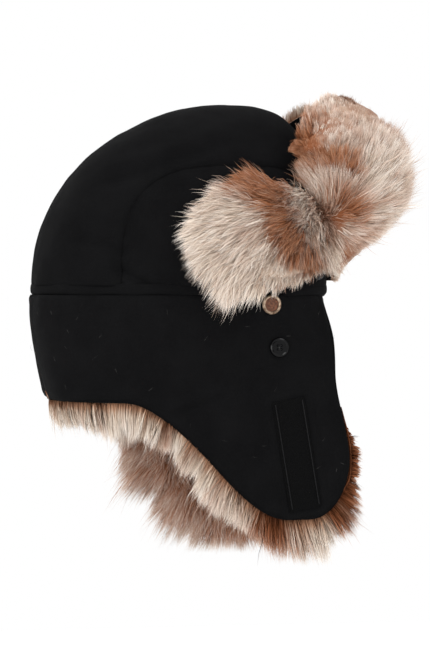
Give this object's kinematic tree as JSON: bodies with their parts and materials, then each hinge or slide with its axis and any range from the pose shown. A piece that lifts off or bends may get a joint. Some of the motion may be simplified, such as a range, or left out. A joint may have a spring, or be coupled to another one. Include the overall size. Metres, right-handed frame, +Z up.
{
  "type": "trapper hat",
  "caption": "Padded trapper hat with a panelled crown, a fur-lined neck and ear curtain, folding ear flaps and a turned-up fur visor.",
  "frame": {"origin": "middle of the head opening, at the height of the seam between crown and curtain", "axes": "+Z up through the crown, -Y towards the brow and visor, +X towards the wearer's left ear"},
  "size_m": [0.2226, 0.2932, 0.3428],
  "materials": {
    "shell_cloth": "matt fine-woven black polyester shell cloth",
    "seam_tape": "matt black woven tape",
    "wadding": "soft white wadding",
    "interlining": "stiff woven interlining",
    "lining": "satin lining cloth, quilted",
    "visor_fur": "long faux fur, brown roots and cream tips",
    "curtain_fur": "long faux fur, brown roots and cream tips",
    "loop_pile": "fuzzy black loop pile",
    "hook_tape": "black nylon hooks",
    "thread": "twisted black thread",
    "button": "glossy black resin",
    "ring_brass": "antique brass, rubbed bright on the rim",
    "snap_centre": "dark antique copper"
  },
  "bodies": {
    "hat": {"crown_centre_panel": "shell_cloth", "crown_side_panel_right": "shell_cloth", "crown_side_panel_left": "shell_cloth", "crown_wadding_centre": "wadding", "crown_wadding_right": "wadding", "crown_wadding_left": "wadding", "crown_lining_centre": "lining", "crown_lining_right": "lining", "crown_lining_left": "lining", "seam_tape": "seam_tape", "curtain_shell": "shell_cloth", "curtain_wadding": "wadding", "curtain_fur": "curtain_fur", "visor_wing_shell_right": "shell_cloth", "visor_wing_shell_left": "shell_cloth", "visor_wing_fur_right": "visor_fur", "visor_wing_fur_left": "visor_fur", "visor_tack_right": "thread", "visor_tack_left": "thread", "snap_cap_right": "ring_brass", "snap_cap_left": "ring_brass", "snap_centre_right": "snap_centre", "snap_centre_left": "snap_centre", "snap_back_right": "ring_brass", "snap_back_left": "ring_brass", "cheek_button_right": "button", "cheek_button_left": "button", "cheek_thread_right": "thread", "cheek_thread_left": "thread", "corner_button_right": "button", "corner_button_left": "button", "corner_thread_right": "thread", "corner_thread_left": "thread"},
    "visor": {"visor_shell": "shell_cloth", "visor_interlining": "interlining", "visor_fur": "visor_fur"},
    "ear_flap_right": {"ear_flap_shell_right": "shell_cloth", "ear_flap_wadding_right": "wadding", "ear_flap_fur_right": "curtain_fur", "loop_strip": "loop_pile", "loop_strip_stitching": "thread"},
    "ear_flap_left": {"ear_flap_shell_left": "shell_cloth", "ear_flap_wadding_left": "wadding", "ear_flap_fur_left": "curtain_fur", "hook_strip": "hook_tape", "hook_strip_stitching": "thread"}
  },
  "joints": [
    {"name": "visor_fold", "type": "hinge", "parent": "hat", "child": "visor", "pos_m": [0, -0.1135, 0.006], "axis": [1, 0, 0], "range_deg": [0, 70]},
    {"name": "ear_flap_right_fold", "type": "hinge", "parent": "hat", "child": "ear_flap_right", "pos_m": [-0.0847, 0.042, -0.088], "axis": [0, 0.996, -0.0896], "range_deg": [-20, 160]},
    {"name": "ear_flap_left_fold", "type": "hinge", "parent": "hat", "child": "ear_flap_left", "pos_m": [0.0847, 0.042, -0.088], "axis": [0, -0.996, 0.0896], "range_deg": [-20, 160]}
  ]
}
